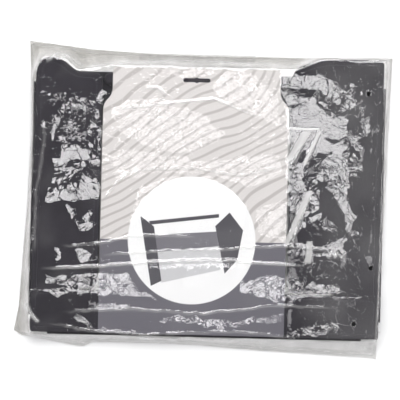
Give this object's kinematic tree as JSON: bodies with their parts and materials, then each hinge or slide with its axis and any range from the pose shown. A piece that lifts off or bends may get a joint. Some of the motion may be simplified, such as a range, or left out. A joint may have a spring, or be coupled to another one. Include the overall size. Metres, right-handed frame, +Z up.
{
  "type": "folded stroller travel tray in its bag",
  "caption": "Fabric travel tray with folding walls, net pockets and a buckled belt, folded flat behind an insert card in a clear bag.",
  "frame": {"origin": "on the underside of the bag's back film, below the middle of the folded tray", "axes": "+X to the right along the tray's long side, +Y from the front wall's hinge to the rear edge, +Z up out of the front of the pack"},
  "size_m": [0.4308, 0.355, 0.0249],
  "materials": {
    "fabric": "matte charcoal woven polyester",
    "lining": "matte dark lining cloth",
    "binding": "black grosgrain tape",
    "net": "black knitted net",
    "foam": "light foam sheet",
    "board": "hollow plastic sheet",
    "writing": "white wipe-clean sheet",
    "clear_sheet": "clear flexible sheet",
    "webbing": "black woven webbing",
    "plastic": "black moulded plastic, fine spark texture",
    "card": "printed satin card with grey wavy stripes",
    "film": "clear crinkled bag film",
    "clear_tape": "clear adhesive tape"
  },
  "bodies": {
    "tray_base": {"base_bottom_cover": "fabric", "base_board": "board", "base_foam": "foam", "base_top_cover": "fabric", "base_edge_binding": "binding", "left_hinge_tape": "binding", "right_hinge_tape": "binding", "front_hinge_tape": "binding", "writing_surface": "writing", "clear_pocket_film": "clear_sheet", "pocket_frame": "binding", "belly_bumper_cover": "fabric", "belly_bumper_foam": "foam", "left_belt_patch": "binding", "right_belt_patch": "binding", "left_webbing": "webbing", "right_webbing": "webbing", "buckle_housing": "plastic", "buckle_frame": "plastic"},
    "left_wing": {"left_wing_lining": "lining", "left_wing_stiffener": "board", "left_wing_foam": "foam", "left_wing_cover": "fabric", "left_net_pocket": "net", "left_pocket_elastic": "binding"},
    "right_wing": {"right_wing_lining": "lining", "right_wing_stiffener": "board", "right_wing_foam": "foam", "right_wing_cover": "fabric", "right_net_pocket": "net", "right_pocket_elastic": "binding"},
    "front_wall": {"front_wall_lining": "lining", "front_wall_stiffener": "board", "front_wall_foam": "foam", "front_wall_cover": "fabric"},
    "insert_card": {"insert_card": "card"},
    "polybag": {"polybag_back_film": "film", "polybag_front_film": "film", "polybag_closure_tape": "clear_tape"},
    "left_keeper": {"left_strap_keeper": "webbing"},
    "right_keeper": {"right_strap_keeper": "webbing"},
    "rear_prong": {"buckle_rear_prong": "plastic"},
    "front_prong": {"buckle_front_prong": "plastic"}
  },
  "joints": [
    {"name": "front_wall_fold", "type": "hinge", "parent": "tray_base", "child": "front_wall", "pos_m": [0, -0.1496, 0.015], "axis": [1, 0, 0], "range_deg": [0, 90]},
    {"name": "left_wing_fold", "type": "hinge", "parent": "tray_base", "child": "left_wing", "pos_m": [-0.1996, 0, 0.015], "axis": [0, -1, 0], "range_deg": [0, 90]},
    {"name": "right_wing_fold", "type": "hinge", "parent": "tray_base", "child": "right_wing", "pos_m": [0.1996, 0, 0.015], "axis": [0, 1, 0], "range_deg": [0, 90]},
    {"name": "card_slide", "type": "slide", "parent": "front_wall", "child": "insert_card", "axis": [0, 1, 0], "range_m": [0, 0.32]},
    {"name": "bag_slide", "type": "slide", "parent": "tray_base", "child": "polybag", "axis": [0, -1, 0], "range_m": [0, 0.4], "deforming": ["polybag_front_film", "polybag_closure_tape"]},
    {"name": "left_keeper_slide", "type": "slide", "parent": "tray_base", "child": "left_keeper", "axis": [1, 0, 0], "range_m": [0, 0.03]},
    {"name": "right_keeper_slide", "type": "slide", "parent": "tray_base", "child": "right_keeper", "axis": [1, 0, 0], "range_m": [0, 0.02]},
    {"name": "prong_press", "type": "hinge", "parent": "tray_base", "child": "rear_prong", "pos_m": [0.0006, 0.1271, 0.0168], "axis": [0, 0, -1], "range_deg": [0, 12], "stiffness_Nm_per_rad": 0.5},
    {"name": "front_prong_press", "type": "hinge", "parent": "tray_base", "child": "front_prong", "pos_m": [0.0006, 0.1089, 0.0168], "axis": [0, 0, 1], "range_deg": [0, 12], "stiffness_Nm_per_rad": 0.5}
  ],
  "couplings": [
    {"joint": "left_wing_fold", "follows": "front_wall_fold", "ratio": 1},
    {"joint": "right_wing_fold", "follows": "front_wall_fold", "ratio": 1},
    {"joint": "front_prong_press", "follows": "prong_press", "ratio": 1}
  ]
}
